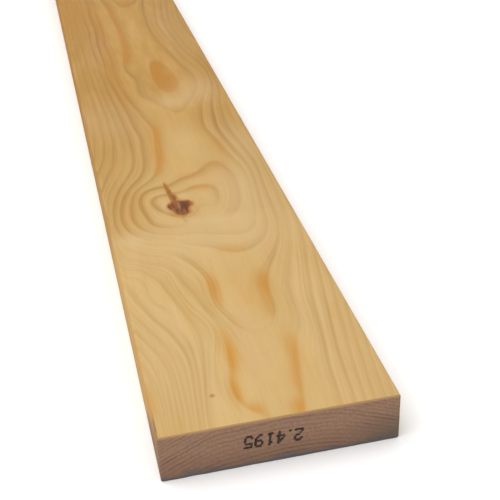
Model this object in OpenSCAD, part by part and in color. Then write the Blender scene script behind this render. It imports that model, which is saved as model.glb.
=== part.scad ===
// Planed softwood plank: one solid sawn from the log, planed on its four long
// faces, eased along its four long edges and cross-cut square at both ends.
// X runs across the width, Y along the length and Z through the thickness.
// The origin is the middle of the underside.

/* [Section] */
// Width across the wide faces
plank_width = 195; // [70:1:300]
// Thickness between the wide faces
plank_thickness = 45; // [16:1:100]
// Radius of the four eased long edges
arris_radius = 2; // [0.5:0.5:6]

/* [Length] */
// Length between the two sawn ends
plank_length = 2400; // [600:100:6000]

/* [Hidden] */

// Width of the flat that each face keeps between its two eased edges
wide_flat = plank_width - 2 * arris_radius;
narrow_flat = plank_thickness - 2 * arris_radius;
// Sides of each edge round, drawn as a full circle
arris_sides = 64;

pine = [0.85, 0.69, 0.45];

// Cross-section, standing on the X axis: two crossed rectangles that leave a
// square notch at each corner, and a circle that fills each notch with a round.
module planed_section() {
    translate([-wide_flat / 2, 0]) square([wide_flat, plank_thickness]);
    translate([-plank_width / 2, arris_radius]) square([plank_width, narrow_flat]);
    for (x = [-wide_flat / 2, wide_flat / 2])
        for (z = [arris_radius, plank_thickness - arris_radius])
            translate([x, z]) circle(r = arris_radius, $fn = arris_sides);
}

// The section run through the planer, lying on its wide face and centred
// lengthways, with both ends cut square
module plank() {
    color(pine)
        translate([0, plank_length / 2, 0])
            rotate([90, 0, 0])
                linear_extrude(height = plank_length)
                    planed_section();
}

plank();
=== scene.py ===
import bpy
import numpy as np
from mathutils import Matrix, Vector


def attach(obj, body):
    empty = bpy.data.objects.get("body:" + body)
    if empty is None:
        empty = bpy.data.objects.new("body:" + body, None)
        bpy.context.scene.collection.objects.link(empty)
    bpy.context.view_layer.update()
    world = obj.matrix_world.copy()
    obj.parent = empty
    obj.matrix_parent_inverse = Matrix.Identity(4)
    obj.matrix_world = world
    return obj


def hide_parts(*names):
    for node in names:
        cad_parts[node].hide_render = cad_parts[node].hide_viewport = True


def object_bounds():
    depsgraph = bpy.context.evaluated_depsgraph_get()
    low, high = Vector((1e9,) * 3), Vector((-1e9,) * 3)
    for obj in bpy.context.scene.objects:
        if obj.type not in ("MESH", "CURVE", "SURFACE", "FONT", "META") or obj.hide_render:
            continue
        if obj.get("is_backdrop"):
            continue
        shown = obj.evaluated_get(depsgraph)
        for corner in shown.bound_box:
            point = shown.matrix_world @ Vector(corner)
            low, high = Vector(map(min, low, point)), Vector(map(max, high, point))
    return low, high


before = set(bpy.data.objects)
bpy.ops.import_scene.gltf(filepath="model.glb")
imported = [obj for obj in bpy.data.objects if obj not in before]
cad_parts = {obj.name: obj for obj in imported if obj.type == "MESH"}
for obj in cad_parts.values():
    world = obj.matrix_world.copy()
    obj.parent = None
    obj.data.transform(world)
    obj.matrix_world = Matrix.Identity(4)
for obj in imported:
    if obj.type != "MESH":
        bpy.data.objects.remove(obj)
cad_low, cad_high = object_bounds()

# ---- Camera ------------------------------------------------------------------------
# A long lens stands beyond the near end, a little outside the left edge, and looks down
# along the plank, so that the near end fills the view and the far end runs out of it.
EYE = (-0.1406, -1.7685, 0.5462)
HEADING = np.radians(12.01)  # from +Y towards +X
DIP = np.radians(30.96)  # below the horizon
ROLL = np.radians(-2.26)
LENS_MM = 70.9
SENSOR_MM = 36.0
NEAR_CLIP = 0.01

ahead = Vector((np.sin(HEADING) * np.cos(DIP), np.cos(HEADING) * np.cos(DIP), -np.sin(DIP)))
level = Vector((np.cos(HEADING), -np.sin(HEADING), 0.0))
upright = level.cross(ahead)
sideways = level * np.cos(ROLL) + upright * np.sin(ROLL)
overhead = upright * np.cos(ROLL) - level * np.sin(ROLL)

camera = bpy.data.objects.new("camera", bpy.data.cameras.new("camera"))
camera.data.sensor_width = SENSOR_MM
camera.data.lens = LENS_MM
camera.data.clip_start = NEAR_CLIP
camera.matrix_world = Matrix.Translation(EYE) @ Matrix(
    (sideways, overhead, -ahead)
).transposed().to_4x4()
bpy.context.scene.collection.objects.link(camera)
bpy.context.scene.camera = camera


# ---- The timber as it grew -----------------------------------------------------------
# The plank is flat-sawn from one side of a pine log, bark side up, crown of the tree at
# the near end. Its figure is the yearly rings cut by the faces, a ring count worked out
# in mm across from the left edge, along from the near end and down from the top face.
PITH_ACROSS = 108.0
PITH_DEPTH = 230.0
RING_WIDTH = 4.2
NEAR_END_RING = 4.0  # ring count of the face over the pith, by the near end
TAPER = 4.5 / 1000  # rings lost per mm towards the butt
CROWDING = 4.0  # extra rings in the outer 100 mm of the face
CROWDING_DEPTH = 26.0  # how deep they stay crowded
CROWDING_REACH = (100.0, 1.2)  # mm from the middle, and the furthest it still grows
PITH_SWAY = (6.0, 310.0)  # sideways sway of the pith, and its wave along the log
RING_WAVES = (0.35, 61.0, 47.0, 143.0, 1.1)  # rings, reach along, across, far, start
LEAN = 0.4  # branches slope towards the butt as they go down to the pith
FADE_DEPTH = 70.0  # how deep the swirls of the top face reach

# Ring lines of the top face, each a run of (across, along) for one ring's last wood.
RING_LINES = {
    -1: [
        [(56, 352), (51, 368), (53, 382), (60, 393)],
        [(84, 391), (95, 398), (109, 402), (120, 398), (125, 384), (123, 364), (114, 348)],
        [(109, 712), (107, 745), (108, 780), (112, 805), (120, 813), (128, 797), (133, 775),
         (136, 742), (137, 712), (131, 694), (122, 686), (112, 696)],
        [(97, 1125), (102, 1105), (112, 1093), (124, 1104), (133, 1125)],
    ],
    0: [
        [(70, 312), (54, 317), (45, 327), (41, 343), (38, 362), (38, 382), (44, 401),
         (55, 407), (66, 410)],
        [(78, 414), (92, 424), (106, 431), (117, 439), (126, 451), (134, 456), (142, 451),
         (147, 440), (151, 416), (150, 396), (148, 372), (144, 352), (137, 334), (126, 320),
         (110, 313), (90, 311)],
        [(76, 1125), (80, 1090), (80, 1057), (83, 1000), (84, 945), (83, 895), (80, 855),
         (75, 822), (73, 796), (75, 772), (81, 752), (82, 728), (80, 700), (83, 682),
         (92, 662), (101, 642), (111, 622), (122, 613), (131, 626), (142, 646), (154, 672),
         (162, 700), (164, 728), (161, 758), (155, 786), (150, 815), (144, 858), (138, 900),
         (134, 945), (134, 992), (137, 1050), (141, 1092), (145, 1125)],
    ],
    1: [
        [(59, 1125), (57, 1070), (58, 1020), (57, 975), (56, 935), (54, 915), (56, 880),
         (57, 845), (55, 805), (54, 775), (57, 732), (60, 700), (64, 670), (68, 643),
         (73, 618), (76, 596), (81, 578), (81, 555), (78, 525), (75, 497), (71, 465),
         (66, 446), (58, 433), (49, 421), (38, 407), (31, 390), (26, 365), (26, 342),
         (32, 319), (44, 305), (62, 300), (84, 297), (102, 291), (116, 285), (130, 283),
         (142, 288), (150, 302), (155, 325), (159, 352), (163, 382), (166, 412), (164, 440),
         (158, 466), (154, 492), (151, 520), (146, 545), (145, 570), (149, 605), (156, 637),
         (164, 662), (172, 688), (177, 720), (177, 745), (174, 772), (167, 800), (162, 828),
         (159, 862), (156, 895), (152, 935), (149, 985), (153, 1030), (158, 1075), (163, 1125)],
    ],
    2: [
        [(47, 1125), (45, 1050), (47, 985), (46, 945), (44, 905), (45, 865), (46, 830),
         (44, 795), (45, 750), (48, 712), (51, 672), (55, 640), (58, 590), (61, 545),
         (59, 510), (56, 475), (51, 450), (42, 433), (31, 417), (23, 398), (16, 370),
         (14, 342), (19, 316), (34, 299), (50, 291), (62, 284), (74, 277), (86, 270),
         (99, 261), (110, 253), (122, 249), (134, 253), (147, 264), (156, 280), (161, 302),
         (165, 335), (169, 372), (173, 410), (173, 440), (169, 470), (165, 500), (161, 535),
         (160, 560), (164, 597), (170, 635), (178, 668), (184, 705), (185, 750), (181, 792),
         (173, 828), (167, 862), (165, 900), (161, 950), (162, 1000), (167, 1050), (174, 1110)],
    ],
    3: [
        [(36, 1125), (35, 1050), (36, 985), (34, 920), (35, 860), (36, 790), (39, 710),
         (42, 660), (45, 600), (47, 545), (46, 505), (42, 472), (35, 452), (26, 432),
         (17, 410), (10, 382), (7, 350), (8, 320), (15, 298)],
        [(46, 265), (57, 261), (64, 251), (71, 236), (77, 220), (79, 200), (79, 177),
         (79, 158), (84, 146), (90, 129), (97, 117), (107, 112), (118, 119), (126, 134),
         (130, 152), (130, 172), (133, 188), (138, 205), (145, 219), (153, 236), (162, 257),
         (169, 280), (173, 305), (176, 345), (180, 395), (183, 435), (180, 475), (177, 505),
         (173, 545), (174, 585), (180, 630), (187, 670)],
        [(189, 795), (182, 830), (176, 862), (173, 905), (169, 960), (171, 1005), (178, 1070),
         (184, 1115)],
    ],
    4: [
        [(28, 1125), (27, 1000), (27, 900), (28, 800), (31, 710), (35, 640), (38, 560),
         (36, 505), (31, 470), (22, 447), (12, 422), (4, 392), (1, 350), (2, 315)],
        [(38, 251), (47, 244), (52, 226), (58, 204), (63, 184), (66, 165), (73, 146),
         (75, 128), (77, 112), (75, 92), (72, 72), (69, 52), (67, 38), (69, 27), (74, 18),
         (80, 10), (86, 2)],
        [(116, 3), (120, 18), (124, 40), (128, 62), (132, 82), (137, 98), (145, 115),
         (148, 135), (149, 160), (153, 184), (159, 207), (166, 232), (173, 258), (179, 281),
         (184, 310), (187, 350), (190, 400), (190, 455), (186, 505), (184, 555), (187, 615),
         (192, 650)],
        [(192, 850), (184, 895), (179, 950), (179, 1000), (186, 1065)],
    ],
    5: [
        [(20, 1125), (19, 1000), (19, 900), (20, 790), (24, 690), (27, 610), (26, 530),
         (21, 490), (10, 452), (1, 420)],
        [(21, 240), (28, 228), (35, 213), (40, 195), (46, 172), (51, 150), (54, 128),
         (54, 106), (51, 80), (48, 56), (44, 36), (42, 15), (41, 0)],
        [(147, 3), (149, 22), (151, 45), (155, 70), (159, 92), (163, 120), (167, 150),
         (173, 183), (180, 217), (187, 250), (192, 290)],
    ],
    6: [
        [(12, 1125), (11, 1000), (11, 850), (13, 740), (17, 640), (17, 560), (11, 500), (2, 468)],
        [(0, 228), (6, 205), (12, 180), (19, 157), (27, 139), (34, 120), (39, 98), (40, 75),
         (38, 48), (35, 22), (33, 0)],
        [(158, 3), (161, 28), (164, 58), (168, 85), (173, 115), (179, 150), (185, 190), (191, 225)],
    ],
    7: [
        [(4, 1125), (3, 980), (4, 800), (8, 660), (7, 580), (2, 520)],
        [(0, 176), (9, 151), (17, 131), (24, 112), (28, 92), (29, 62), (28, 30), (26, 0)],
        [(167, 3), (170, 28), (174, 60), (179, 95), (185, 130), (192, 170)],
    ],
    8: [
        [(0, 146), (8, 124), (15, 106), (20, 86), (21, 60), (20, 30), (19, 0)],
        [(175, 3), (179, 35), (184, 70), (189, 105)],
    ],
    9: [
        [(0, 122), (5, 106), (10, 88), (13, 62), (13, 30), (12, 0)],
        [(183, 3), (187, 35), (191, 70)],
    ],
    10: [
        [(0, 98), (3, 84), (6, 62), (7, 30), (6, 0)],
        [(190, 3), (193, 30)],
    ],
}
# (across, along, ring count) between the lines, where the wood lies nearly along a ring.
BETWEEN_LINES = [
    (108, 950, -0.70), (108, 1020, -0.82), (108, 880, -0.62), (110, 840, -0.75),
    (122, 745, -1.22), (120, 780, -1.12), (126, 712, -1.18), (110, 1160, -1.35),
    (120, 560, 0.42), (118, 510, 0.40), (122, 590, 0.22), (95, 470, 0.45), (100, 600, 0.35),
    (108, 200, 2.40), (106, 160, 2.55), (110, 230, 2.30), (90, 248, 2.25), (85, 235, 2.4),
    (100, 60, 3.55), (98, 25, 3.72), (102, 90, 3.30),
    (20, 270, 3.60), (35, 268, 3.20), (8, 280, 3.75), (30, 200, 5.29), (20, 215, 5.45),
    (32, 180, 5.37), (55, 15, 4.55), (60, 4, 4.50), (58, 35, 4.50),
    (78, 360, -1.75), (92, 360, -1.35), (66, 362, -1.35), (78, 335, -1.0),
    (105, 330, -0.45), (60, 330, -0.5), (135, 400, -0.5), (112, 420, -0.35),
]
# Two bells, a broad and a narrow one: (reach across, reach along), share.
BELLS = [((45.0, 140.0), 1.0), ((13.0, 34.0), 0.45)]
SLACK = 0.004  # how loosely the swirls keep to the noted lines
# Branches of the unseen length: (across, along, dip in rings, reach across, reach along).
BRANCH_DIPS = [
    (62.0, 1530.0, 2.6, 22.0, 75.0),
    (141.0, 1915.0, 2.2, 18.0, 60.0),
    (96.0, 2290.0, 1.4, 18.0, 60.0),
    (30.0, 1330.0, 0.8, 20.0, 90.0),
    (165.0, 1700.0, 0.9, 20.0, 110.0),
]


def log_rings(across, along, depth):
    """Ring count of a plain log: distance from the pith line over the ring width, less
    the taper along it, plus rings that crowd with the cube of the distance from the
    middle of the face and wander in long slow waves."""
    sway, sway_wave = PITH_SWAY
    off = across - PITH_ACROSS - sway * np.sin(along / sway_wave)
    distance = np.hypot(off, PITH_DEPTH - depth)
    reach, furthest = CROWDING_REACH
    crowded = CROWDING * np.minimum(np.abs(off) / reach, furthest) ** 3 * np.exp(-depth / CROWDING_DEPTH)
    rings, by_along, by_across, by_long, start = RING_WAVES
    waves = rings * np.sin(along / by_along + across / by_across) * np.sin(along / by_long + start)
    return (
        NEAR_END_RING
        - TAPER * along
        + (distance - PITH_DEPTH) / RING_WIDTH
        + crowded
        + waves
    )


def bells(places, centres):
    """Sum of the two bell curves, one row for each place and one column for each centre."""
    apart = places[:, None, :] - centres[None, :, :]
    return sum(
        share * np.exp(-0.5 * ((apart / np.array(reach)) ** 2).sum(2)) for reach, share in BELLS
    )


def draw_through(lines, between):
    """Weights of a bell at every noted place, such that the plain log's rings plus all
    the bells pass through the noted ring counts: the solution of one linear system."""
    places, counts = [], []
    for count, runs in lines.items():
        for run in runs:
            run = np.array(run, float)
            run = np.vstack([run, (run[1:] + run[:-1]) / 2])
            places.append(run)
            counts.append(np.full(len(run), float(count)))
    between = np.array(between, float)
    places = np.vstack([*places, between[:, :2]])
    counts = np.concatenate([*counts, between[:, 2]])
    missing = counts - log_rings(places[:, 0], places[:, 1], 0.0)
    system = bells(places, places) + SLACK * np.eye(len(places))
    return places, np.linalg.solve(system, missing)


swirl_places, swirl_weights = draw_through(RING_LINES, BETWEEN_LINES)
SWIRLS_END = 1450.0  # past this the noted lines have no say
BATCH = 4000  # places worked out at once, which keeps the memory small


def ring_count(across, along, depth):
    """Plain log rings plus the swirls of the top face and the dips round branches, both
    carried down into the wood along the branches' lean and fading with depth."""
    face_along = along - LEAN * depth
    swirls = np.zeros(across.size)
    near = np.flatnonzero(face_along.ravel() < SWIRLS_END)
    places = np.stack([across.ravel()[near], face_along.ravel()[near]], 1)
    batches = np.array_split(places, len(places) // BATCH + 1)
    swirls[near] = np.concatenate([bells(batch, swirl_places) @ swirl_weights for batch in batches])
    extra = swirls.reshape(across.shape)
    for at_across, at_along, dip, wide, long in BRANCH_DIPS:
        r2 = ((across - at_across) / wide) ** 2 + ((face_along - at_along) / long) ** 2
        extra = extra - dip / (1.0 + r2) ** 2
    return log_rings(across, along, depth) + extra * np.exp(-depth / FADE_DEPTH)


# ---- Knots -----------------------------------------------------------------------------
# Each knot is a branch cut through by the faces, and leans as the branch did. The big
# one is loose in its bark, split, slimmer below, and has a bark-filled seam running up
# the plank from it. The others are sound.

# Lobes of the big knot on the top face: (across, along, half width, half length, weight).
BIG_KNOT_LOBES = [
    (79.0, 358.0, 8.5, 13.0, 1.0),  # heart
    (70.5, 361.0, 6.0, 8.0, 0.75),  # left lobe
    (88.0, 363.0, 7.0, 8.0, 0.9),  # right lobe
    (79.8, 344.5, 9.0, 8.0, 0.75),  # foot
    (79.5, 326.0, 4.5, 9.0, 0.3),  # tail towards the near end
    (75.6, 381.0, 4.6, 11.0, 0.75),  # seam of bark running up the plank
    (72.8, 397.0, 3.2, 12.0, 0.7),
    (71.2, 412.0, 2.7, 10.0, 0.6),
]
BIG_KNOT_BELOW = (79.0, 360.0, 11.0, 14.0, 1.2)  # its oval on the underside
LOBES_END = 8.0  # depth at which the lobes start to turn into that oval
TURN_DEPTH = 20.0  # how much deeper they have done so
# Sound knots: (across, along, half width, half length, depth at which the branch ends).
SOUND_KNOTS = [
    (124.0, 752.0, 9.0, 11.0, 14.0),
    (62.0, 1530.0, 12.0, 15.0, -50.0),
    (141.0, 1915.0, 8.5, 10.5, -50.0),
    (96.0, 2290.0, 5.0, 7.0, -50.0),
]
TIP_LENGTH = 20.0  # of a branch that ends inside the wood
KNOT_LIMIT = 4.0  # radii past which the wood takes no notice of a knot


def big_knot_presence(across, along, depth):
    """Sum of bell curves, one for each lobe: about 1 in the knot, a half on its rim and
    nothing outside. Below the top few mm it turns into the single oval of the branch."""
    face_along = along - LEAN * depth

    def bell(at_across, at_along, wide, long, weight):
        r2 = ((across - at_across) / wide) ** 2 + ((face_along - at_along) / long) ** 2
        return weight * np.exp(-r2)

    lobes = sum(bell(*lobe) for lobe in BIG_KNOT_LOBES)
    share = np.clip((depth - LOBES_END) / TURN_DEPTH, 0.0, 1.0)
    return lobes * (1 - share) + bell(*BIG_KNOT_BELOW) * share


def sound_knot_radius(across, along, depth):
    """Smallest of the ovals' radii: 1 on a rim, more outside. A branch that ends inside
    the wood has an oval that shrinks to nothing at that depth."""
    face_along = along - LEAN * depth
    nearest = np.full(np.shape(across), KNOT_LIMIT)
    for at_across, at_along, wide, long, ends in SOUND_KNOTS:
        reach = np.sqrt(np.clip((depth - ends) / TIP_LENGTH, 1e-4, 1.0))
        r = np.hypot((across - at_across) / wide, (face_along - at_along) / long) / reach
        nearest = np.minimum(nearest, r)
    return nearest


# ---- The plank's surface -----------------------------------------------------------------
# One closed skin over the whole plank: four planed faces, four eased edges and two
# sawn ends. It is a rounded section carried along the length, with the ends closed
# by a grid spanned between the four sides, and everything on it is cut into the wood.
MM = 0.001
WIDTH, LENGTH, THICK = (cad_high - cad_low) / MM
ARRIS = 2.0  # radius of the eased edges
ARC_STEPS = 2  # on each half of an eased edge
ACROSS_STEPS = 92
UP_STEPS = 12
ALONG_STEPS = 404
# Where the grid is drawn finer: (middle, half width, extra density).
FINE_ACROSS = [(79.0, 15.0, 2.4)]
FINE_ALONG = [
    (372.0, 55.0, 3.2), (0.0, 14.0, 3.0), (1530.0, 24.0, 1.6), (1915.0, 18.0, 1.6),
    (LENGTH, 10.0, 2.5),
]


def stations(start, end, steps, finer):
    """Places from start to end, spaced by the running total of a density that is 1 plus
    a flat-topped bump at each finer spot."""
    fine = np.linspace(start, end, 4001)
    density = np.ones(len(fine))
    for at, half, extra in finer:
        density += extra / (1 + ((fine - at) / half) ** 6)
    total = np.concatenate([[0], np.cumsum((density[1:] + density[:-1]) / 2)])
    return np.interp(np.linspace(0, total[-1], steps + 1), total, fine)


def side_profile(length, flat):
    """One side of the section: half an eased edge, the flat face and half of the next
    edge, each half edge an eighth of a circle. Gives the distance along the side, the
    distance in from the face, and the outward normal's parts along and out of it."""
    turn = np.radians(np.linspace(45, 90, ARC_STEPS + 1)[:-1])
    back = turn[::-1]
    run = np.concatenate([ARRIS * (1 - np.cos(turn)), flat, length - ARRIS * (1 - np.cos(back))])
    inset = np.concatenate([ARRIS * (1 - np.sin(turn)), 0 * flat, ARRIS * (1 - np.sin(back))])
    out_along = np.concatenate([-np.cos(turn), 0 * flat, np.cos(back)])
    out_away = np.concatenate([-np.sin(turn), 0 * flat - 1, -np.sin(back)])
    return np.stack([run, inset, out_along, out_away])


across_flat = stations(ARRIS, WIDTH - ARRIS, ACROSS_STEPS, FINE_ACROSS)
up_flat = stations(ARRIS, THICK - ARRIS, UP_STEPS, [])
along_at = stations(0.0, LENGTH, ALONG_STEPS, FINE_ALONG)

# The section's four sides in turn, anticlockwise seen from the near end: each gives
# across, depth below the top face, and the outward normal across and up.
run, inset, out_along, out_away = side_profile(WIDTH, across_flat)
underside = np.stack([run, THICK - inset, out_along, out_away])
topside = np.stack([run, inset, out_along, -out_away])[:, ::-1]
run, inset, out_along, out_away = side_profile(THICK, up_flat)
right_side = np.stack([WIDTH - inset, THICK - run, -out_away, out_along])
left_side = np.stack([inset, THICK - run, out_away, out_along])[:, ::-1]
sides = [underside, right_side, topside, left_side]
section = np.concatenate([side[:, :-1] for side in sides], 1)
starts = np.cumsum([0] + [side.shape[1] - 1 for side in sides])


def worn_noise(x, y, seed):
    """Smooth seeded noise, mostly from -1 to 1: a quarter of the sum of seven sine waves
    in random directions."""
    rng = np.random.default_rng(seed)
    total = 0.0
    for _ in range(7):
        a, b = rng.normal(size=2)
        total = total + np.sin(a * x + b * y + rng.uniform(0, 2 * np.pi))
    return total / 4.0


SEAM_START = 368.0  # along, where the big knot gives way to its seam
SEAM_RUN = 14.0  # over this length
SEAM_DEPTH = 0.5
CRACK_AT = (78.0, 360.0)  # a point on the crack down the knot
CRACK_SLANT = 0.1
CRACK_WIDTH = 0.9
CRACK_DEPTH = 0.9


def cut_into_wood(across, along, depth):
    """How far the finished surface lies inside the true section, in mm: slow planer waves,
    the big knot's lumpy hollow with a crack down it and its even seam, and a narrow bell
    for the sunken rim of each sound knot."""
    waves = 0.05 + 0.03 * worn_noise(across / 40.0, along / 130.0, 3)
    big = np.clip((big_knot_presence(across, along, depth) - 0.45) / 0.5, 0.0, 1.0)
    seam = np.clip((along - LEAN * depth - SEAM_START) / SEAM_RUN, 0.0, 1.0)
    lumps = 0.35 + 0.3 * worn_noise(across / 1.6, along / 3.0, 5)
    from_crack = across - CRACK_AT[0] + CRACK_SLANT * (along - CRACK_AT[1])
    crack = CRACK_DEPTH * np.exp(-((from_crack / CRACK_WIDTH) ** 2))
    hollow = big * ((lumps + crack) * (1 - seam) + SEAM_DEPTH * seam)
    sound = sound_knot_radius(across, along, depth)
    rim = 0.22 * np.exp(-(((sound - 1.0) / 0.16) ** 2)) + 0.05 * (sound < 1)
    return np.maximum(waves + hollow + rim, 0.0)


def bruise(along, seed):
    """Extra wear of an eased edge in mm: the peaks of a slow noise."""
    slow = worn_noise(along / 55.0, along / 23.0, seed) + 0.5 * worn_noise(along / 9.0, 0 * along, seed + 1)
    return 0.08 + 0.45 * np.clip(slow - 0.35, 0.0, 1.0)


across_skin, along_skin = np.meshgrid(section[0], along_at, indexing="ij")
depth_skin = np.repeat(section[1][:, None], len(along_at), 1)
inward = cut_into_wood(across_skin, along_skin, depth_skin)
on_edge = np.minimum(np.abs(section[2]), np.abs(section[3])) > 0.05
for corner, (at_across, at_depth) in enumerate([(0, THICK), (WIDTH, THICK), (WIDTH, 0), (0, 0)]):
    near_corner = np.hypot(section[0] - at_across, section[1] - at_depth) < 3 * ARRIS
    inward[on_edge & near_corner] += bruise(along_at, 20 + 3 * corner)[None, :]
skin = np.stack([
    across_skin - inward * section[2][:, None],
    along_skin,
    depth_skin + inward * section[3][:, None],
], 2)
# Cells of the grid that closes each end.
columns = ACROSS_STEPS + 2 * ARC_STEPS
rows = UP_STEPS + 2 * ARC_STEPS


def end_grid(rim):
    """Grid spanned over a closed rim: each pair of facing sides blended by nearness, both
    blends added, less the blend of the four corners, which both of them hold."""
    s = np.linspace(0, 1, columns + 1)[None, :, None]
    t = np.linspace(0, 1, rows + 1)[:, None, None]
    bottom = rim[: columns + 1][None]
    right = rim[columns : columns + rows + 1][:, None]
    top = rim[columns + rows : 2 * columns + rows + 1][::-1][None]
    left = np.concatenate([rim[2 * columns + rows :], rim[:1]])[::-1][:, None]
    corners = (
        (1 - s) * (1 - t) * bottom[:, :1]
        + s * (1 - t) * bottom[:, -1:]
        + (1 - s) * t * top[:, :1]
        + s * t * top[:, -1:]
    )
    return (1 - t) * bottom + t * top + (1 - s) * left + s * right - corners


def saw_marks(across, depth):
    """How far a sawn end lies inside the true length, in mm: a sine wave slanting across
    it for the blade's path, smooth noise for torn fibre, and the peaks of another noise,
    fading upwards, for chips along the lower edge."""
    ridges = 0.05 * np.sin((across + 0.35 * depth) / 3.1) + 0.05 * worn_noise(across / 5.0, depth / 4.0, 40)
    chips = 0.35 * np.clip(worn_noise(across / 7.0, 0 * across, 41) - 0.1, 0, 1)
    lower = np.exp(-np.maximum(THICK - depth, 0.0) / 1.5)
    return 0.12 + ridges + chips * lower


ends = []
for row, inwards in ((0, 1.0), (-1, -1.0)):
    grid = end_grid(skin[:, row])
    grid[..., 1] += inwards * saw_marks(grid[..., 0], grid[..., 2])
    ends.append(grid)
    # The rim of the skin follows the edge of its sawn end.
    skin[:, row, 1] += inwards * saw_marks(skin[:, row, 0], skin[:, row, 2])

# Points: the skin's grid, then the inner points of each end.
near_inner = ends[0][1:-1, 1:-1].reshape(-1, 3)
far_inner = ends[1][1:-1, 1:-1].reshape(-1, 3)
points = np.concatenate([skin.reshape(-1, 3), near_inner, far_inner])
number = np.arange(skin[..., 0].size).reshape(skin.shape[:2])


def end_numbers(rim_numbers, first_inner):
    """Point numbers of an end's grid: the rim's own points round the outside, new ones
    within."""
    grid = np.zeros((rows + 1, columns + 1), int)
    grid[0, :] = rim_numbers[: columns + 1]
    grid[:, -1] = rim_numbers[columns : columns + rows + 1]
    grid[-1, :] = rim_numbers[columns + rows : 2 * columns + rows + 1][::-1]
    grid[:, 0] = np.concatenate([rim_numbers[2 * columns + rows :], rim_numbers[:1]])[::-1]
    inner = (rows - 1) * (columns - 1)
    grid[1:-1, 1:-1] = first_inner + np.arange(inner).reshape(rows - 1, columns - 1)
    return grid


near_grid = end_numbers(number[:, 0], number.size)
far_grid = end_numbers(number[:, -1], number.size + len(near_inner))


def quads(grid):
    """Corner numbers of every cell of a grid of point numbers, as one array of fours."""
    return np.stack([grid[:-1, :-1], grid[1:, :-1], grid[1:, 1:], grid[:-1, 1:]], -1).reshape(-1, 4)


around = np.concatenate([number, number[:1]], 0)
faces = np.concatenate([quads(around)[:, ::-1], quads(near_grid)[:, ::-1], quads(far_grid)])
skin_faces = number[:, 1:].size

# A map of the whole skin for patterns to be stored on: four bands with the length
# running across the sheet, and the two ends side by side above them.
BANDS = [(0.355, 0.695), (0.705, 0.79), (0.005, 0.345), (0.80, 0.885)]
END_BAND = (0.895, 0.995)
END_SPANS = [(0.005, 0.495), (0.505, 0.995)]
MAP_MARGIN = 0.005
skin_map = np.zeros((*number[:, 1:].shape, 4, 2))
steps_round = np.hypot(*np.diff(np.c_[section[:2], section[:2, :1]]))
travel = np.concatenate([[0], np.cumsum(steps_round)])
share_along = MAP_MARGIN + (1 - 2 * MAP_MARGIN) * along_at / LENGTH
for side, (low, high) in enumerate(BANDS):
    own = np.arange(starts[side], starts[side + 1])
    span = travel[starts[side + 1]] - travel[starts[side]]
    here = low + (high - low) * (travel[own] - travel[starts[side]]) / span
    after = low + (high - low) * (travel[own + 1] - travel[starts[side]]) / span
    skin_map[own, :, 0, 1] = skin_map[own, :, 3, 1] = here[:, None]
    skin_map[own, :, 1, 1] = skin_map[own, :, 2, 1] = after[:, None]
skin_map[:, :, 0, 0] = skin_map[:, :, 1, 0] = share_along[None, :-1]
skin_map[:, :, 2, 0] = skin_map[:, :, 3, 0] = share_along[None, 1:]
maps = [skin_map[:, :, ::-1].reshape(-1, 2)]
# The near end's faces are wound the other way round.
for (left_edge, right_edge), flip in zip(END_SPANS, (True, False)):
    s = left_edge + (right_edge - left_edge) * np.linspace(0, 1, columns + 1)
    t = END_BAND[0] + (END_BAND[1] - END_BAND[0]) * np.linspace(0, 1, rows + 1)
    spread = np.stack(np.meshgrid(s, t), -1)
    cells = np.stack([spread[:-1, :-1], spread[1:, :-1], spread[1:, 1:], spread[:-1, 1:]], 2)
    cells = cells.reshape(-1, 4, 2)
    maps.append((cells[:, ::-1] if flip else cells).reshape(-1, 2))
sheet_map = np.concatenate(maps)

mesh = bpy.data.meshes.new("planed_plank")
placed = np.stack(
    [points[:, 0] - WIDTH / 2, points[:, 1] - LENGTH / 2, THICK - points[:, 2]], 1
) * MM
mesh.from_pydata(placed, [], faces)
mesh.polygons.foreach_set("use_smooth", np.ones(len(faces), bool))
mesh.uv_layers.new(name="OFBake").uv.foreach_set("vector", sheet_map.astype(np.float32).ravel())
material_number = (np.arange(len(faces)) >= skin_faces).astype(np.int32)
mesh.polygons.foreach_set("material_index", material_number)
# The ends meet the long faces in a sharp sawn edge.
edge_ends = np.zeros(len(mesh.edges) * 2, np.int32)
mesh.edges.foreach_get("vertices", edge_ends)
is_rim = np.zeros(len(points), bool)
is_rim[number[:, 0]] = True
is_rim[number[:, -1]] = True
edge_ends = edge_ends.reshape(-1, 2)
same_end = (points[edge_ends[:, 0], 1] < LENGTH / 2) == (points[edge_ends[:, 1], 1] < LENGTH / 2)
mesh.edges.foreach_set("use_edge_sharp", is_rim[edge_ends].all(1) & same_end)


def keep(name, values):
    """Stores one number per point on the plank's mesh, for its finish to read."""
    mesh.attributes.new(name, "FLOAT", "POINT").data.foreach_set("value", values.astype(np.float32))


# What the finish reads at each point. First the ring count, how many mm of face one
# ring takes up, how much of the point is the big knot, and the radius from the nearest
# sound knot.
true_along = np.clip(points[:, 1], 0, LENGTH)
skin_rings = ring_count(across_skin, along_skin, depth_skin)
inner = slice(number.size, None)
end_rings = ring_count(points[inner, 0], true_along[inner], points[inner, 2])
keep("ring_count", np.concatenate([skin_rings.ravel(), end_rings]))
rise_round = np.diff(np.r_[skin_rings, skin_rings[:1]], axis=0) / steps_round[:, None]
rise_round = (rise_round + np.roll(rise_round, 1, 0)) / 2
rise_along = np.gradient(skin_rings, along_at, axis=1)
spacing = 1.0 / np.maximum(np.hypot(rise_round, rise_along), 1e-3)
end_spacing = np.full(end_rings.shape, RING_WIDTH)
keep("ring_spacing", np.concatenate([np.clip(spacing, 1.0, 60.0).ravel(), end_spacing]))
keep("big_knot", big_knot_presence(points[:, 0], true_along, points[:, 2]))
keep("sound_knot", np.clip(sound_knot_radius(points[:, 0], true_along, points[:, 2]), 0, KNOT_LIMIT))


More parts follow.
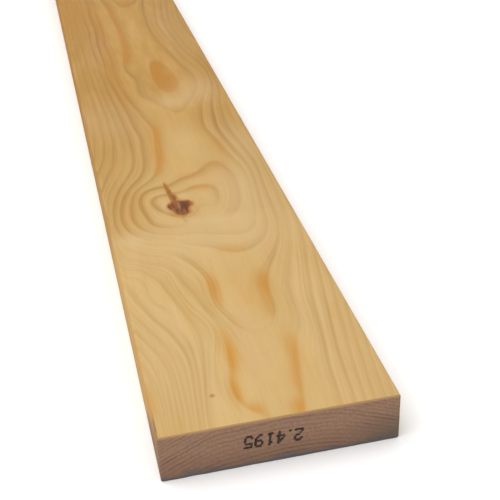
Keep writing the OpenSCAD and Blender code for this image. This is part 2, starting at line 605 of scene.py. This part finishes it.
def spot_bell(spot, power=1.0):
    """Bell round one spot of (across, along, half width, half length, strength): the
    strength times the exponential of minus r squared to a power, r being 1 at its half
    sizes. A higher power gives a flatter top."""
    at_across, at_along, wide, long, strength = spot
    r2 = ((points[:, 0] - at_across) / wide) ** 2 + ((points[:, 1] - at_along) / long) ** 2
    return strength * np.exp(-(r2**power))


# Resin-soaked stretches of late wood, none of them deep.
RESIN_SPOTS = [
    (2, 45, 4, 22, 0.6), (24, 362, 16, 50, 0.25), (76, 85, 8, 32, 1.0), (69, 38, 7, 18, 1.0),
    (80, 12, 7, 12, 0.7), (128, 80, 8, 30, 0.9), (121, 40, 7, 24, 0.7), (113, 7, 8, 12, 0.9),
    (83, 192, 8, 32, 0.65), (104, 186, 26, 32, 0.5), (130, 190, 10, 26, 0.9),
    (124, 150, 8, 18, 0.6), (81, 545, 10, 44, 1.1), (76, 488, 9, 36, 1.0),
    (69, 452, 6, 14, 0.6), (83, 895, 8, 60, 1.0), (79, 835, 8, 30, 0.8),
    (86, 1010, 7, 90, 0.8), (18, 1090, 42, 120, 0.5), (117, 786, 10, 28, 1.6),
    (124, 724, 15, 34, 1.9), (113, 748, 9, 24, 0.8), (112, 256, 16, 10, 0.7),
    (132, 447, 17, 14, 0.7), (102, 429, 20, 9, 0.55), (113, 397, 18, 9, 0.75),
    (151, 498, 7, 30, 0.5), (112, 1112, 18, 28, 0.5), (54, 760, 9, 200, 0.45),
    (80, 1090, 8, 50, 0.4), (56, 1000, 8, 120, 0.4), (140, 900, 10, 80, 0.3),
    (152, 640, 8, 40, 0.4), (62, 1460, 20, 40, 0.5), (150, 1820, 14, 60, 0.6),
    (100, 2180, 20, 70, 0.5),
]
RESIN_DEPTH = 10.0
resin = sum(spot_bell(spot, 1.5) for spot in RESIN_SPOTS)
keep("resin", resin * np.exp(-points[:, 2] / RESIN_DEPTH))

# How boldly the late wood shows: faint by the near end, bold in the swirl of the big
# knot and on the narrow faces, and lost where a ring only grazes the face.
BOLDER = [
    (80, 365, 75, 70, 0.6), (20, 520, 60, 110, 0.4), (170, 520, 30, 120, 0.15),
    (22, 365, 20, 60, 0.7), (42, 365, 7, 40, -0.35), (114, 116, 20, 22, -0.8),
    (75, 85, 8, 34, -0.3), (129, 85, 8, 34, -0.35), (82, 190, 9, 34, -0.35),
    (134, 185, 9, 34, -0.4), (83, 990, 6, 170, 0.8), (165, 500, 25, 80, -0.15),
    (43, 190, 9, 45, 0.5), (58, 205, 8, 40, 0.6), (70, 150, 7, 28, 0.7),
    (168, 180, 25, 180, 0.3), (158, 90, 5, 40, 0.25), (60, 285, 60, 25, -0.25),
    (30, 281, 34, 19, -1.3), (10, 245, 22, 22, -0.8), (112, 560, 25, 80, -0.3),
    (112, 350, 18, 14, -1.1), (148, 385, 9, 45, -0.3), (102, 316, 42, 12, -1.3),
    (116, 640, 30, 34, -0.45), (6, 900, 28, 270, -0.5), (53, 960, 9, 190, 0.45),
    (66, 740, 14, 130, 0.3), (178, 900, 20, 200, -0.2), (122, 745, 22, 62, -0.5),
    (165, 520, 14, 100, 0.5), (43, 570, 16, 120, 0.35), (112, 1110, 25, 30, 0.9),
    (110, 398, 20, 10, 0.8), (112, 442, 26, 18, 0.6),
]
NEAR_BOLD = 0.62  # at the near end, as far as FAINT_END
FAR_BOLD = 0.33  # more beyond BOLD_FROM
FAINT_END = 200.0
BOLD_FROM = 350.0
SIDE_BOLD = 0.3  # more on the narrow faces and the underside
SIDE_DEPTH = 6.0
bold = NEAR_BOLD + FAR_BOLD * np.clip((points[:, 1] - FAINT_END) / (BOLD_FROM - FAINT_END), 0, 1)
bold += sum(spot_bell(spot) for spot in BOLDER)
bold += SIDE_BOLD * np.clip(points[:, 2] / SIDE_DEPTH, 0, 1)
keep("boldness", bold)

# Where the half-year bands show: in years of middling width, and round a few spots.
HALF_YEAR_SPOTS = [
    (20, 195, 24, 55, 0.4), (130, 35, 16, 40, 0.5), (56, 80, 18, 45, 0.6), (25, 60, 22, 60, 0.4),
]
MIDDLING = 0.35
width_there = np.concatenate([spacing.ravel(), end_spacing])
wide_enough = np.clip((width_there - 3.0) / 4.0, 0, 1)  # from 3 mm of face to a year
narrow_enough = np.clip((26.0 - width_there) / 10.0, 0, 1)  # up to 26 mm
half_year = MIDDLING * wide_enough * narrow_enough
for spot in HALF_YEAR_SPOTS:
    half_year += spot_bell(spot, 2.0) * (1 - half_year)
keep("half_year", half_year)

# Paler wood pressed round the big knot and beyond the crooks of the rings.
PALE_SPOTS = [
    (63, 367, 4, 24, 0.3), (87, 383, 5, 7, 0.35), (150, 375, 40, 80, 0.45),
    (165, 60, 40, 120, 0.25), (20, 300, 16, 14, 0.4), (110, 320, 30, 10, 0.3),
    (160, 685, 30, 50, 0.4), (120, 652, 30, 28, 0.35), (112, 525, 20, 50, 0.3),
    (178, 500, 20, 60, 0.3), (25, 75, 30, 75, 0.3), (30, 600, 35, 70, 0.25),
    (165, 930, 30, 150, 0.15), (95, 283, 85, 38, 0.4),
]
PALE_DEPTH = 8.0
pale = sum(spot_bell(spot) for spot in PALE_SPOTS)
keep("pressed_pale", pale * np.exp(-points[:, 2] / PALE_DEPTH))

plank = bpy.data.objects.new("planed_plank", mesh)
bpy.context.scene.collection.objects.link(plank)


# ---- Finish of the planed faces ------------------------------------------------------
# Bare planed pine: pale early wood that turns gradually into darker, harder late wood
# and soon falls back past each ring's end, with long fibres, resin streaks and knots.
def srgb(red, green, blue):
    """Linear colour of three 0-255 screen values: each over 255 to the power 2.2."""
    return tuple((v / 255) ** 2.2 for v in (red, green, blue)) + (1.0,)


def add(kind, inputs=None, **settings):
    """A new node in the tree in hand, with its settings; inputs are links or fixed
    values, by socket."""
    node = tree.nodes.new(kind)
    for name, value in settings.items():
        setattr(node, name, value)
    for socket, value in (inputs or {}).items():
        if isinstance(value, bpy.types.NodeSocket):
            tree.links.new(value, node.inputs[socket])
        else:
            node.inputs[socket].default_value = value
    return node


def calc(operation, *values, clamp=False):
    """One arithmetic step on numbers or links."""
    node = add("ShaderNodeMath", dict(enumerate(values)), operation=operation, use_clamp=clamp)
    return node.outputs[0]


def times(first, second, clamp=False):
    """The product of two numbers or links."""
    return calc("MULTIPLY", first, second, clamp=clamp)


def rise(value, start, end, low=0.0, high=1.0):
    """Smooth step of a value, from low at start to high at end."""
    inputs = {"Value": value, "From Min": start, "From Max": end, "To Min": low, "To Max": high}
    node = add("ShaderNodeMapRange", inputs, interpolation_type="SMOOTHSTEP")
    return node.outputs["Result"]


def blend(factor, first, second, way="MIX"):
    """Two colours mixed by a factor."""
    node = add("ShaderNodeMix", {0: factor, 6: first, 7: second}, data_type="RGBA", blend_type=way)
    return node.outputs[2]


def stretched_noise(place, scale, detail=2.0, roughness=0.5):
    """Noise from 0 to 1 with its own number of waves per metre along each axis."""
    spread = add("ShaderNodeVectorMath", {0: place, 1: scale}, operation="MULTIPLY")
    inputs = {"Vector": spread.outputs[0], "Scale": 1.0, "Detail": detail, "Roughness": roughness}
    return add("ShaderNodeTexNoise", inputs).outputs["Fac"]


def swing(place, scale, reach, detail):
    """Noise that swings either side of nought: the noise less a half, times a reach."""
    return times(calc("SUBTRACT", stretched_noise(place, scale, detail), 0.5), reach)


def stored(name):
    """A number kept on the mesh."""
    return add("ShaderNodeAttribute", attribute_name=name, attribute_type="GEOMETRY").outputs["Fac"]


PALE_EARLY = srgb(193, 162, 109)
GOLD_EARLY = srgb(171, 130, 63)
PALE_LATE = srgb(169, 133, 73)
GOLD_LATE = srgb(145, 103, 38)
PALE_RESIN = srgb(184, 132, 58)
GOLD_RESIN = srgb(167, 114, 36)
PINK_WOOD = srgb(190, 150, 103)
WARM_WOOD = srgb(191, 148, 79)
HALO = srgb(195, 167, 123)
KNOT_RED = srgb(138, 83, 42)
KNOT_DARK = srgb(86, 50, 22)
KNOT_RIM = srgb(165, 111, 58)
KNOT_HEART = srgb(148, 113, 78)
BARK = srgb(140, 100, 26)
PAINTED_SIDE_SHADE = srgb(124, 94, 73)
DARK_FIBRE = (0.80, 0.75, 0.66, 1)  # multiplies the wood's own colour
NARROW_FACE = (0.94, 0.88, 0.77, 1)  # likewise


def coat(mesh, material, inputs):
    """Ends the tree in hand with one shader, and puts its material on a mesh."""
    shader = add("ShaderNodeBsdfPrincipled", inputs)
    add("ShaderNodeOutputMaterial", {"Surface": shader.outputs[0]})
    mesh.materials.append(material)


def blank_material(name):
    """A material with an empty node tree, and that tree, which is then the tree in hand."""
    material = bpy.data.materials.new(name)
    material.use_nodes = True
    material.node_tree.nodes.clear()
    return material, material.node_tree


planed, tree = blank_material("planed_pine")
place = add("ShaderNodeTexCoord").outputs["Object"]
x_at, y_at, z_at = add("ShaderNodeSeparateXYZ", {0: place}).outputs[:]
ring_spacing = stored("ring_spacing")

CLIMB = 4.4  # mm over which late wood darkens
HALF_YEAR_CLIMB = 1.8
RESIN_CLIMB = 9.0
FALL = 1.3  # mm over which a ring's colour falls away past its end
LEVEL = 0.72  # of the full climb, where the colour is held
DEEPEST = 1.2  # depth of colour for a climb of 1


def year_bands(count, spacing, soft):
    """Depth of colour of one family of rings, and the share of the year gone by. The
    colour is the larger of two exponentials, of minus the mm left to the year's end over
    the softness and of minus the mm past it over FALL, held level near the top."""
    through = calc("FRACT", count)
    left = times(calc("SUBTRACT", 1.0, through), spacing)
    past = times(through, spacing)
    climb = calc("EXPONENT", calc("DIVIDE", left, -soft))
    drop = calc("EXPONENT", calc("DIVIDE", past, -FALL))
    peak = calc("MINIMUM", calc("MAXIMUM", climb, drop), LEVEL)
    return times(peak, DEEPEST), through


# Rings waver by about a millimetre, whatever their spacing.
WAVER_MM = 3.0  # for the whole range of the noise
waver = calc("DIVIDE", swing(place, (90, 7, 90), WAVER_MM, 3.0), ring_spacing)
count = calc("ADD", stored("ring_count"), waver)
# Late wood is mostly the band before a ring's end, with a share that grows all through
# the second half of the year.
dense, through_year = year_bands(count, ring_spacing, CLIMB)
second_half = rise(through_year, 0.45, 1.0)
late = calc("MULTIPLY_ADD", second_half, 0.22, times(dense, 0.8))
# Some years are darker than others, and each fades and gains along its length.
year = calc("ROUND", count)
of_year = add("ShaderNodeTexWhiteNoise", {"W": year}, noise_dimensions="1D").outputs["Value"]
fades = stretched_noise(place, (16, 5, 16), 2.0)
strength = calc("MULTIPLY_ADD", of_year, 0.35, 0.5)
strength = times(strength, rise(fades, 0.3, 0.65, 0.65, 1.3))
strength = times(strength, stored("boldness"))
late = times(late, strength)
# Fainter bands half way through a year, where a dry summer checked the growth.
half_spacing = times(ring_spacing, 0.5)
half_count = calc("MULTIPLY_ADD", count, 2.0, 0.1)
checked, _ = year_bands(half_count, half_spacing, HALF_YEAR_CLIMB)
where = rise(stretched_noise(place, (24, 7, 24), 1.0), 0.36, 0.6, 0.35, 1.2)
where = times(stored("half_year"), where)
late = calc("MAXIMUM", late, times(checked, where), clamp=True)

# The wood is pale by the near end and golden further up, in a long mottle, with pink and
# warm patches in the early wood, and resin over both.
GOLD_FROM, GOLD_TO = -1.15, -0.35  # in metres along Y
gold = rise(y_at, GOLD_FROM, GOLD_TO)
mottle = stretched_noise(place, (18, 2.6, 18), 3.0)
gold = calc("MULTIPLY_ADD", calc("SUBTRACT", mottle, 0.5), 0.9, gold, clamp=True)
early_colour = blend(gold, PALE_EARLY, GOLD_EARLY)
late_colour = blend(gold, PALE_LATE, GOLD_LATE)
blush = rise(stretched_noise(place, (30, 6, 30), 2.0), 0.52, 0.72, 0.0, 0.45)
early_colour = blend(blush, early_colour, PINK_WOOD)
soaked = calc("MULTIPLY_ADD", year_bands(count, ring_spacing, RESIN_CLIMB)[0], 0.8, 0.3)
resin_share = times(stored("resin"), soaked, clamp=True)
warm = rise(stretched_noise(place, (75, 16, 75), 3.0, 0.6), 0.45, 0.75, 0.0, 0.4)
early_colour = blend(warm, early_colour, WARM_WOOD)
colour = blend(late, early_colour, late_colour)
colour = blend(resin_share, colour, blend(gold, PALE_RESIN, GOLD_RESIN))

# Fine streaks that run with the rings, fainter where the rings lie wide apart, long
# straight fibres, and a few resin canals.
RING_STEP = 0.011  # metres of streak pattern passed in one ring
ring_steps = times(count, RING_STEP)
with_rings = add("ShaderNodeCombineXYZ", {0: ring_steps, 1: y_at, 2: z_at}).outputs[0]
streak = stretched_noise(with_rings, (900, 9, 60), 3.0, 0.6)
crossing = rise(ring_spacing, 45.0, 14.0, 0.25, 1.0)
streak_depth = times(rise(streak, 0.40, 0.75, 0.0, 0.6), crossing)
fibre = stretched_noise(place, (1000, 14, 1000), 3.0, 0.6)
darker = blend(1.0, colour, DARK_FIBRE, "MULTIPLY")
colour = blend(streak_depth, colour, darker)
colour = blend(rise(fibre, 0.35, 0.75, 0.0, 0.22), colour, darker)
canal = rise(stretched_noise(place, (700, 45, 700), 1.0), 0.74, 0.82)
colour = blend(times(canal, 0.35), colour, GOLD_LATE)

# The big knot: pale wood pressed round it, a reddish rim, dark lobes, a paler heart
# split open, and a seam of bark.
BARK_FROM, BARK_TO = -0.825, -0.795  # in metres along Y
SHADE_MIDDLE = (-0.0145, -0.840, 0.045)
HEART_MIDDLE = (-0.0192, -0.838, 0.045)
rough_edge = stretched_noise(place, (330, 150, 330), 3.0, 0.6)
big = times(stored("big_knot"), calc("MULTIPLY_ADD", rough_edge, 0.9, 0.55))
colour = blend(stored("pressed_pale"), colour, HALO)
colour = blend(rise(big, 0.16, 0.46, 0.0, 0.9), colour, KNOT_RIM)
streaks = stretched_noise(place, (260, 60, 260), 3.0, 0.5)
core = blend(rise(streaks, 0.30, 0.75), KNOT_RED, KNOT_DARK)
core = blend(rise(y_at, BARK_FROM, BARK_TO), core, BARK)


def oval(place, middle, waves):
    """Stretched distance from a middle, in metres times the waves per metre of each axis."""
    off = add("ShaderNodeVectorMath", {0: place, 1: middle}, operation="SUBTRACT")
    off = add("ShaderNodeVectorMath", {0: off.outputs[0], 1: waves}, operation="MULTIPLY")
    return add("ShaderNodeVectorMath", {0: off.outputs[0]}, operation="LENGTH").outputs["Value"]


shade = oval(place, SHADE_MIDDLE, (170, 110, 60))
core = blend(rise(shade, 1.6, 0.4, 0.0, 0.85), core, KNOT_DARK)
heart = oval(place, HEART_MIDDLE, (560, 110, 60))
core = blend(rise(heart, 1.6, 0.3, 0.0, 0.7), core, KNOT_HEART)
colour = blend(rise(big, 0.40, 0.75), colour, core)

# Sound knots: a darker rim, and fine rings of their own round a pith.
RING_TURNS = 26.0  # radians of the rings' wave from the pith to the rim
off_round = calc("SUBTRACT", rough_edge, 0.5)
sound = calc("MULTIPLY_ADD", off_round, 0.25, stored("sound_knot"))
turns = calc("MULTIPLY_ADD", rough_edge, 5.0, times(sound, RING_TURNS))
own_rings = calc("SINE", turns)
core = blend(rise(own_rings, -1.0, 1.0, 0.2, 0.55), KNOT_RIM, KNOT_RED)
core = blend(rise(streaks, 0.4, 0.7, 0.0, 0.5), core, KNOT_RED)
# Drying checks across them: (across, along, half sizes).
KNOT_CHECKS = [
    (63.5, 1531.0, 8.0, 0.7), (61.0, 1525.0, 0.7, 6.0), (141.5, 1913.5, 0.7, 7.5),
    (95.5, 2290.5, 4.0, 0.6),
]
WANDER = 0.003  # metres, for the whole range of the noise
wander = swing(place, (300, 300, 300), WANDER, 2.0)
wandering = add("ShaderNodeVectorMath", {0: place, 1: wander}, operation="ADD").outputs[0]
for at_across, at_along, half_across, half_along in KNOT_CHECKS:
    middle = ((at_across - WIDTH / 2) * MM, (at_along - LENGTH / 2) * MM, THICK * MM)
    check = oval(wandering, middle, (1 / (half_across * MM), 1 / (half_along * MM), 30))
    core = blend(rise(check, 1.0, 0.5, 0.0, 0.85), core, KNOT_DARK)
core = blend(rise(sound, 0.2, 0.05), core, KNOT_DARK)
colour = blend(rise(sound, 1.35, 1.0, 0.0, 0.5), colour, KNOT_RIM)
colour = blend(rise(sound, 1.02, 0.94), colour, core)
rim = times(rise(sound, 1.12, 1.0), rise(sound, 0.84, 0.96))
colour = blend(times(rim, 0.7), colour, KNOT_DARK)

# A pin mark on the top face. The narrow faces are deeper in colour, and carry painted shade
# in a ragged triangle at the numbered end: the shade fades with height and with the distance
# from the end, and is half as strong on the right.
SPECK = (50.5, 38.0)  # the pin mark, across and along in mm
SPECK_EDGE, SPECK_CORE = 0.0036, 0.0004  # its radii, in metres
SHADE_FADE_UP = 14.0  # per metre of height
SHADE_FADE_ALONG = 9.0  # per metre from the end
RAGGED = 1.4  # share of the noise that smears the triangle's edge
SIDE_FROM, SIDE_TO = 0.0955, 0.0968  # |X| of the narrow faces, in metres
speck_at = ((SPECK[0] - WIDTH / 2) * MM, (SPECK[1] - LENGTH / 2) * MM, THICK * MM)
off_speck = add("ShaderNodeVectorMath", {0: place, 1: speck_at}, operation="DISTANCE").outputs["Value"]
colour = blend(rise(off_speck, SPECK_EDGE, SPECK_CORE, 0.0, 0.6), colour, KNOT_RED)
on_side = rise(calc("ABSOLUTE", x_at), SIDE_FROM, SIDE_TO)
colour = blend(on_side, colour, blend(1.0, colour, NARROW_FACE, "MULTIPLY"))
# Painted shade, brown, on the narrow faces by the numbered end.
up_side = times(z_at, SHADE_FADE_UP)
from_end = times(calc("ADD", y_at, LENGTH / 2 * MM), SHADE_FADE_ALONG)
shade_edge_noise = times(stretched_noise(place, (60, 28, 75), 4.0, 0.65), RAGGED)
out_of_shade = calc("ADD", calc("ADD", up_side, from_end), shade_edge_noise)
side_shade_share = times(on_side, rise(x_at, -0.09, 0.09, 1.0, 0.5))
darkening = times(side_shade_share, rise(out_of_shade, 1.6, 1.2, 0.0, 0.85))
colour = blend(darkening, colour, PAINTED_SIDE_SHADE)

# Late wood stands proud of the softer early wood and is a little glossier. The narrow
# faces are planed less smoothly.
SIDE_ROUGHER = 0.35
bump_height = calc("MULTIPLY_ADD", late, 0.5, times(fibre, 0.5))
roughness = calc("MULTIPLY_ADD", late, -0.10, calc("MULTIPLY_ADD", fibre, 0.12, 0.48))
roughness = calc("MULTIPLY_ADD", on_side, SIDE_ROUGHER, roughness)
bump = add("ShaderNodeBump", {"Strength": 0.35, "Distance": 0.0002, "Height": bump_height})
coat(mesh, planed, {
    "Base Color": colour, "Roughness": roughness, "Normal": bump.outputs[0],
    "IOR": 1.42, "Specular IOR Level": 0.2,
})


# ---- Finish of the sawn ends ---------------------------------------------------------
# End grain takes up light, so it is browner and darker than the faces. The blade has
# left it slightly torn, and it is darker and blue-grey along the lower edge.
END_EARLY = srgb(146, 115, 94)
END_LATE = srgb(107, 79, 64)
END_PINK = srgb(141, 105, 96)
END_OLIVE = srgb(137, 114, 84)
END_TOP_HIGHLIGHT = srgb(184, 146, 96)
END_DULL = srgb(94, 81, 71)
END_LOWER_GREY = srgb(80, 85, 89)
TORN_FIBRE = (0.74, 0.72, 0.70, 1)  # multiplies the end's own colour

sawn, tree = blank_material("sawn_pine_end")
place = add("ShaderNodeTexCoord").outputs["Object"]
x_at, y_at, z_at = add("ShaderNodeSeparateXYZ", {0: place}).outputs[:]
waver = calc("SUBTRACT", stretched_noise(place, (120, 120, 120), 3.0), 0.5)
count = calc("MULTIPLY_ADD", waver, 0.45, stored("ring_count"))
through_year = calc("FRACT", count)
late = calc("MAXIMUM", rise(through_year, 0.35, 0.98), rise(through_year, 0.14, 0.0))
year = calc("FLOOR", count)
of_year = add("ShaderNodeTexWhiteNoise", {"W": year}, noise_dimensions="1D").outputs["Value"]
patches = stretched_noise(place, (30, 30, 70), 2.0)
late = times(late, calc("MULTIPLY_ADD", of_year, 0.6, 0.25))
late = times(late, rise(z_at, 0.040, 0.012, 0.75, 1.6))
late = times(late, rise(patches, 0.3, 0.7, 0.5, 1.05), clamp=True)
torn = stretched_noise(place, (420, 420, 420), 3.0, 0.65)
colour = blend(late, END_EARLY, END_LATE)
tint = stretched_noise(place, (80, 80, 130), 3.0, 0.6)
colour = blend(rise(tint, 0.5, 0.7, 0.0, 0.6), colour, END_PINK)
colour = blend(rise(tint, 0.5, 0.3, 0.0, 0.6), colour, END_OLIVE)
darker = blend(1.0, colour, TORN_FIBRE, "MULTIPLY")
colour = blend(rise(torn, 0.35, 0.7, 0.0, 0.8), colour, darker)
colour = blend(rise(z_at, 0.030, 0.004, 0.0, 0.4), colour, END_LATE)
# A painted highlight where light grazes the fibres just under the top edge, and a dark blue-grey
# band rises from the lower edge, higher towards the right, where the end is duller as well. Heights are in
# metres.
EDGE_FROM, EDGE_TO = 0.0412, 0.0450
CREEP = 0.009
CREEP_RAGGED = 0.016
FOOT_FROM, FOOT_TO = 0.0045, 0.0008  # the darker band along the foot
# Painted highlight: lighter colour in a band just under the top edge.
colour = blend(rise(z_at, EDGE_FROM, EDGE_TO, 0.0, 0.8), colour, END_TOP_HIGHLIGHT)
ragged = swing(place, (55, 55, 110), CREEP_RAGGED, 3.0)
corner = rise(x_at, 0.060, 0.0975, 0.0, 0.005)
creep = calc("SUBTRACT", z_at, calc("ADD", ragged, corner))
darkening = times(rise(creep, CREEP, 0.0), rise(torn, 0.25, 0.65, 0.3, 0.85))
darkening = calc("MAXIMUM", darkening, rise(z_at, FOOT_FROM, FOOT_TO, 0.0, 0.85))
colour = blend(darkening, colour, END_LOWER_GREY)
dull = times(rise(x_at, 0.040, 0.097), rise(z_at, 0.040, 0.010))
colour = blend(times(dull, 0.55), colour, END_DULL)
# Torn fibre and the blade's upright scratches.
blade = stretched_noise(place, (240, 240, 18), 2.0)
height = calc("MULTIPLY_ADD", torn, 0.7, times(blade, 0.5))
bump = add("ShaderNodeBump", {"Strength": 0.5, "Distance": 0.0004, "Height": height})
roughness = calc("MULTIPLY_ADD", torn, 0.15, 0.72)
coat(mesh, sawn, {
    "Base Color": colour, "Roughness": roughness, "Normal": bump.outputs[0],
    "IOR": 1.36, "Specular IOR Level": 0.3,
})

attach(plank, "root")
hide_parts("plank")


# ---- Number on the near end -----------------------------------------------------------
# The yard's ink-jet marks each plank's length and width, 2.4 m and 195 mm, in rows of
# ink dots. It was printed with the plank the other way up.
NUMBER = "2.4195"
DOT_ROWS = {
    "2": ("01110", "10001", "00001", "00110", "01000", "10000", "11111"),
    "4": ("00010", "00110", "01010", "10010", "11111", "00010", "00010"),
    "1": ("00100", "01100", "00100", "00100", "00100", "00100", "01110"),
    "9": ("01110", "10001", "10001", "01111", "00001", "00010", "01100"),
    "5": ("11111", "10000", "11110", "00001", "00001", "10001", "01110"),
    ".": ("000", "000", "000", "000", "000", "000", "010"),
}
PITCH_ALONG = 1.35  # from dot to dot along a row of digits
PITCH_UP = 1.8  # from row to row
DOT_RADIUS = 1.4
LETTER_GAP = 1.9
FONT_ROWS = 7
MARK_LEFT = 68.5  # across, where the last digit ends
MARK_TOP = 15.5  # depth of the digits' feet
SLANT = 0.12  # sideways lean of a digit over its height
SLOPE = 0.03  # fall of the row across the plank
PROUD = 0.07  # of the sawn end
FOOT_IN = 0.25  # how far a dot's foot is sunk in the wood

# The dots of the digits as they read, first digit to the left.
dots = []
pen = 0.0
for letter in NUMBER:
    inked = np.array([list(row) for row in DOT_ROWS[letter]]) == "1"
    row_number, place_in_row = np.nonzero(inked)
    dots.append(np.stack([pen + PITCH_ALONG * place_in_row, PITCH_UP * row_number], 1))
    pen += PITCH_ALONG * inked.shape[1] + LETTER_GAP
dots = np.concatenate(dots)
# Half a turn, so that the first digit is at the right and the feet are uppermost.
mark_height = PITCH_UP * (FONT_ROWS - 1)
dot_across = MARK_LEFT + dots[:, 0].max() - dots[:, 0] + SLANT * (dots[:, 1] - mark_height)
dot_depth = MARK_TOP + mark_height - dots[:, 1] + SLOPE * (dot_across - MARK_LEFT)

# Each dot is a low eight-sided button, rounded at the shoulder, with its foot in the
# wood: rings of points at (share of the radius, mm in from the end).
BUTTON = np.array([(0.0, FOOT_IN), (1.0, FOOT_IN), (1.0, 0.0), (0.8, -PROUD), (0.0, -PROUD)])
CORNERS = 8
corner_turn = np.radians(np.arange(CORNERS) * 360.0 / CORNERS)
rng = np.random.default_rng(8)
size = DOT_RADIUS * rng.uniform(0.8, 1.1, len(dots))
radius = size[:, None, None] * BUTTON[:, 0][None, :, None]
button_across = dot_across[:, None, None] + radius * np.cos(corner_turn)
button_depth = dot_depth[:, None, None] + radius * np.sin(corner_turn)
button_in = saw_marks(dot_across, dot_depth)[:, None, None] + BUTTON[:, 1][None, :, None]
button_in = np.broadcast_to(button_in, button_across.shape)
mark_points = np.stack(
    [button_across - WIDTH / 2, button_in - LENGTH / 2, THICK - button_depth], -1
) * MM
# The first and last ring of each button shrink to one point each, the first and last of
# its points, with three whole rings between them.
whole_rings = mark_points[:, 1:4].reshape(len(dots), 3 * CORNERS, 3)
button_points = np.concatenate([mark_points[:, :1, 0], whole_rings, mark_points[:, 4:, 0]], 1)
ring = 1 + np.arange(3 * CORNERS).reshape(3, CORNERS)
ring_next = np.roll(ring, -1, axis=1)
top_point = 3 * CORNERS + 1
walls = np.stack([ring[:-1], ring_next[:-1], ring_next[1:], ring[1:]], -1).reshape(-1, 4)
foot = np.stack([np.zeros(CORNERS, int), ring_next[0], ring[0]], -1)
top = np.stack([np.full(CORNERS, top_point), ring[-1], ring_next[-1]], -1)
first_points = (np.arange(len(dots)) * button_points.shape[1])[:, None, None]
mark_faces = (first_points + walls).reshape(-1, 4).tolist()
mark_faces += (first_points + np.concatenate([foot, top])).reshape(-1, 3).tolist()
mark_mesh = bpy.data.meshes.new("length_mark")
mark_mesh.from_pydata(button_points.reshape(-1, 3), [], mark_faces)

INK_DARK = srgb(36, 24, 23)
INK_SOAKED = srgb(71, 51, 43)
ink, tree = blank_material("soaked_ink")
place = add("ShaderNodeTexCoord").outputs["Object"]
soak = stretched_noise(place, (300, 300, 300), 3.0, 0.6)
colour = blend(rise(soak, 0.35, 0.7), INK_DARK, INK_SOAKED)
coat(mark_mesh, ink, {"Base Color": colour, "Roughness": 0.8, "IOR": 1.4})

length_mark = bpy.data.objects.new("length_mark", mark_mesh)
bpy.context.scene.collection.objects.link(length_mark)
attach(length_mark, "root")


# ---- Floor and light -------------------------------------------------------------------
# The plank lies on a plain pale floor. A broad square lamp hangs above and to the left
# of it, and an even white light from all round softens every shadow.
FLOOR_HALF = 12.0
FLOOR_DROP = 0.0002  # so that the plank's underside doesn't lie in it
FLOOR_WHITE = (0.95, 0.95, 0.95, 1)
EVEN_LIGHT = 0.94
LAMP_PLACE = Vector((-1.3, -0.9, 2.6))
LAMP_AIM = Vector((0.0, -0.5, 0.0))
LAMP_SIZE = 2.6
LAMP_WATTS = 46.0

floor_mesh = bpy.data.meshes.new("floor")
floor_corners = [(-1, -1), (1, -1), (1, 1), (-1, 1)]
floor_mesh.from_pydata(
    [(x * FLOOR_HALF, y * FLOOR_HALF, -FLOOR_DROP) for x, y in floor_corners], [], [(0, 1, 2, 3)]
)
pale_floor = bpy.data.materials.new("pale_floor")
pale_floor.use_nodes = True
paint = pale_floor.node_tree.nodes["Principled BSDF"]
paint.inputs["Base Color"].default_value = FLOOR_WHITE
paint.inputs["Roughness"].default_value = 0.9
floor_mesh.materials.append(pale_floor)
floor = bpy.data.objects.new("floor", floor_mesh)
bpy.context.scene.collection.objects.link(floor)
floor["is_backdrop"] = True

world = bpy.data.worlds.new("studio")
world.use_nodes = True
world.node_tree.nodes["Background"].inputs["Color"].default_value = (1.0, 1.0, 1.0, 1)
world.node_tree.nodes["Background"].inputs["Strength"].default_value = EVEN_LIGHT
bpy.context.scene.world = world

light = bpy.data.lights.new("key_light", "AREA")
light.size = LAMP_SIZE
light.energy = LAMP_WATTS
lamp = bpy.data.objects.new("key_light", light)
turn = (LAMP_AIM - LAMP_PLACE).to_track_quat("-Z", "Y")
lamp.matrix_world = Matrix.Translation(LAMP_PLACE) @ turn.to_matrix().to_4x4()
bpy.context.scene.collection.objects.link(lamp)
bpy.context.scene.view_settings.view_transform = "Standard"

# ---- Sizes ----------------------------------------------------------------------------
# The box of the finished plank and its mark; the imported model's box was taken at the start.
low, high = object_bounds()
